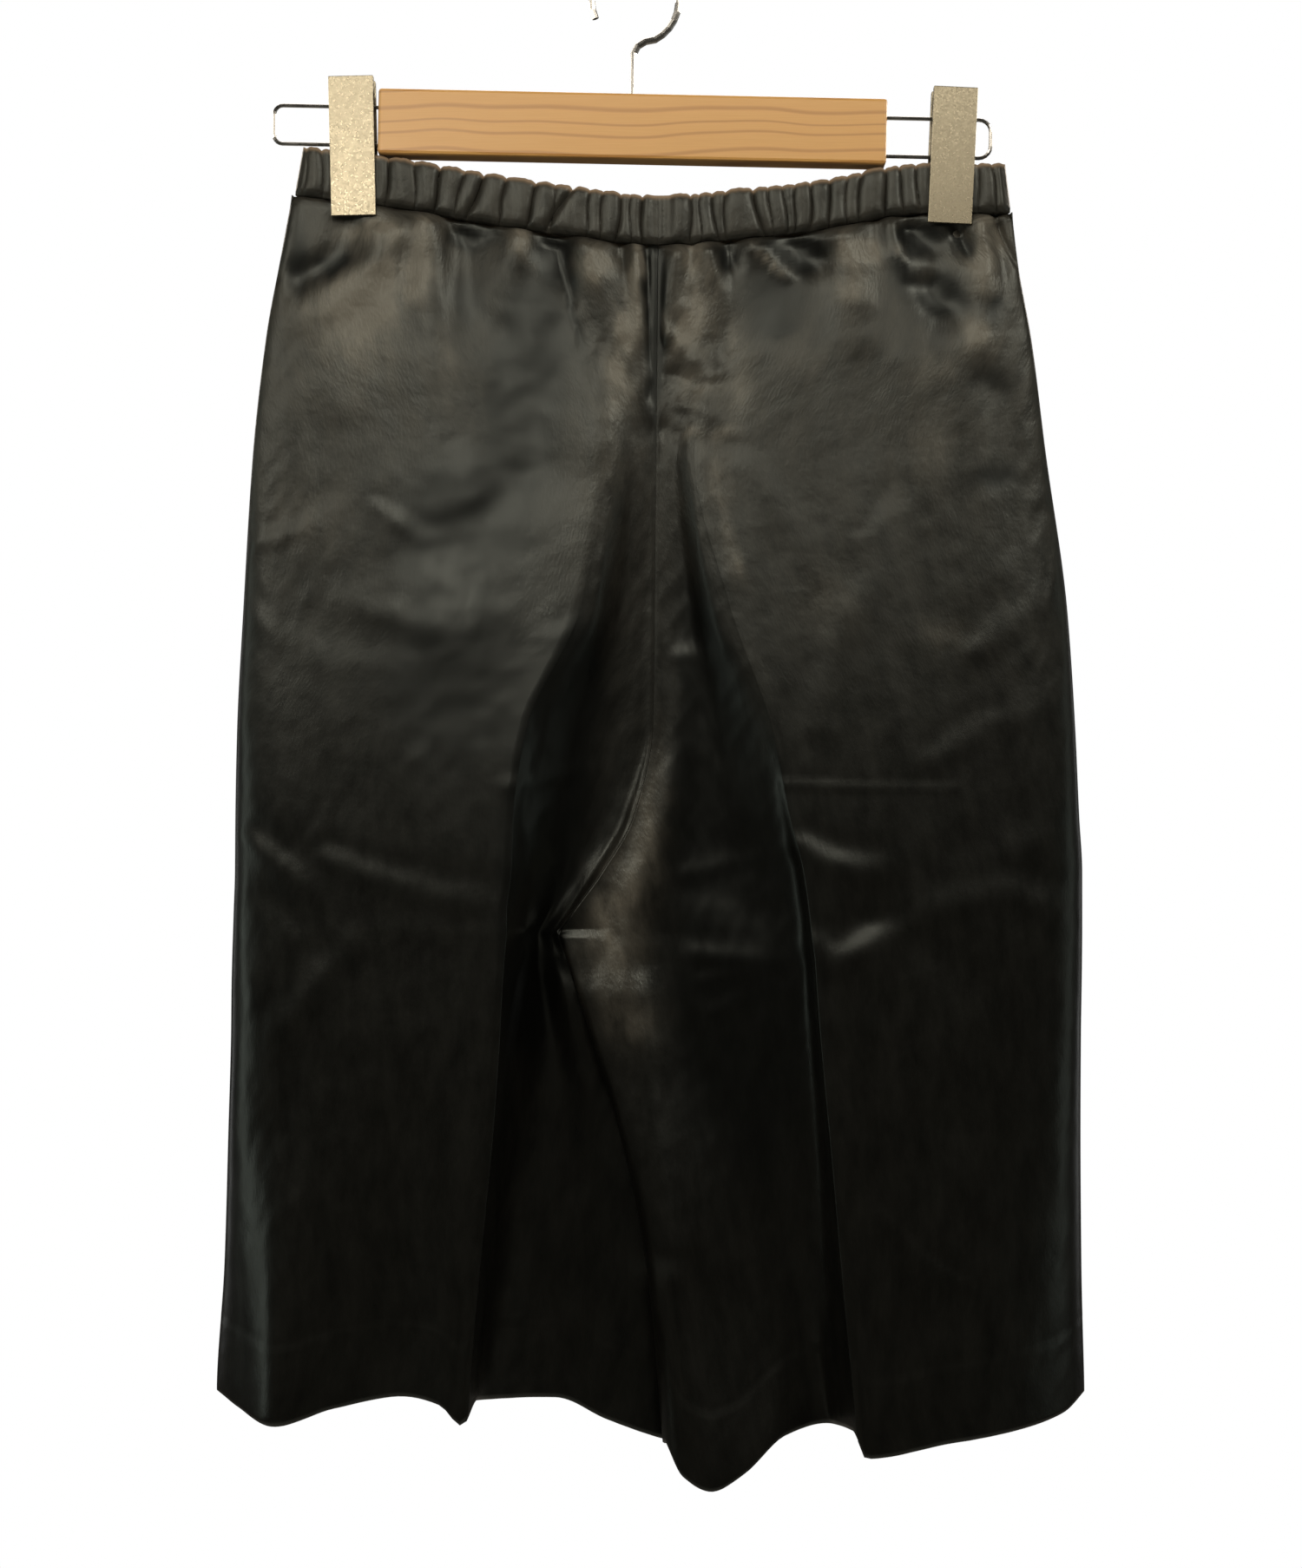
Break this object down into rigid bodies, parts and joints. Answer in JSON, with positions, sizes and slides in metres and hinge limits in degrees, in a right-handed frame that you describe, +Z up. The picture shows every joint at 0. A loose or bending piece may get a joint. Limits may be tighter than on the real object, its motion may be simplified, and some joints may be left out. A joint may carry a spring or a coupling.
{
  "type": "satin shorts on clip hanger",
  "caption": "Knee-length culotte shorts in black satin with a gathered elastic waist and pressed creases, hung by the waist from a wooden clip hanger.",
  "frame": {"origin": "inner crown of the hanger's hook, where it rests on a rail", "axes": "+Z up; the front of the shorts faces -Y; the waist and the hanger's bar run along X, and left and right are as seen from the front"},
  "size_m": [0.4004, 0.1017, 0.6931],
  "materials": {
    "black_satin": "black polyester satin, soft warm sheen, crumpled",
    "beech": "clear-lacquered pale beech with brown grain",
    "chrome_wire": "bright chromed steel wire",
    "satin_nickel": "speckled satin nickel on pressed steel"
  },
  "bodies": {
    "root": {"front_left": "black_satin", "back_left": "black_satin", "front_right": "black_satin", "back_right": "black_satin", "waistband_front_left": "black_satin", "waistband_back_left": "black_satin", "waistband_front_right": "black_satin", "waistband_back_right": "black_satin", "hanger_bar": "beech", "hook": "chrome_wire", "rail_loop_left": "chrome_wire", "rail_loop_right": "chrome_wire", "clip_front_left": "satin_nickel", "clip_back_left": "satin_nickel", "clip_front_right": "satin_nickel", "clip_back_right": "satin_nickel", "clip_saddle_left": "satin_nickel", "clip_saddle_right": "satin_nickel"}
  },
  "joints": []
}
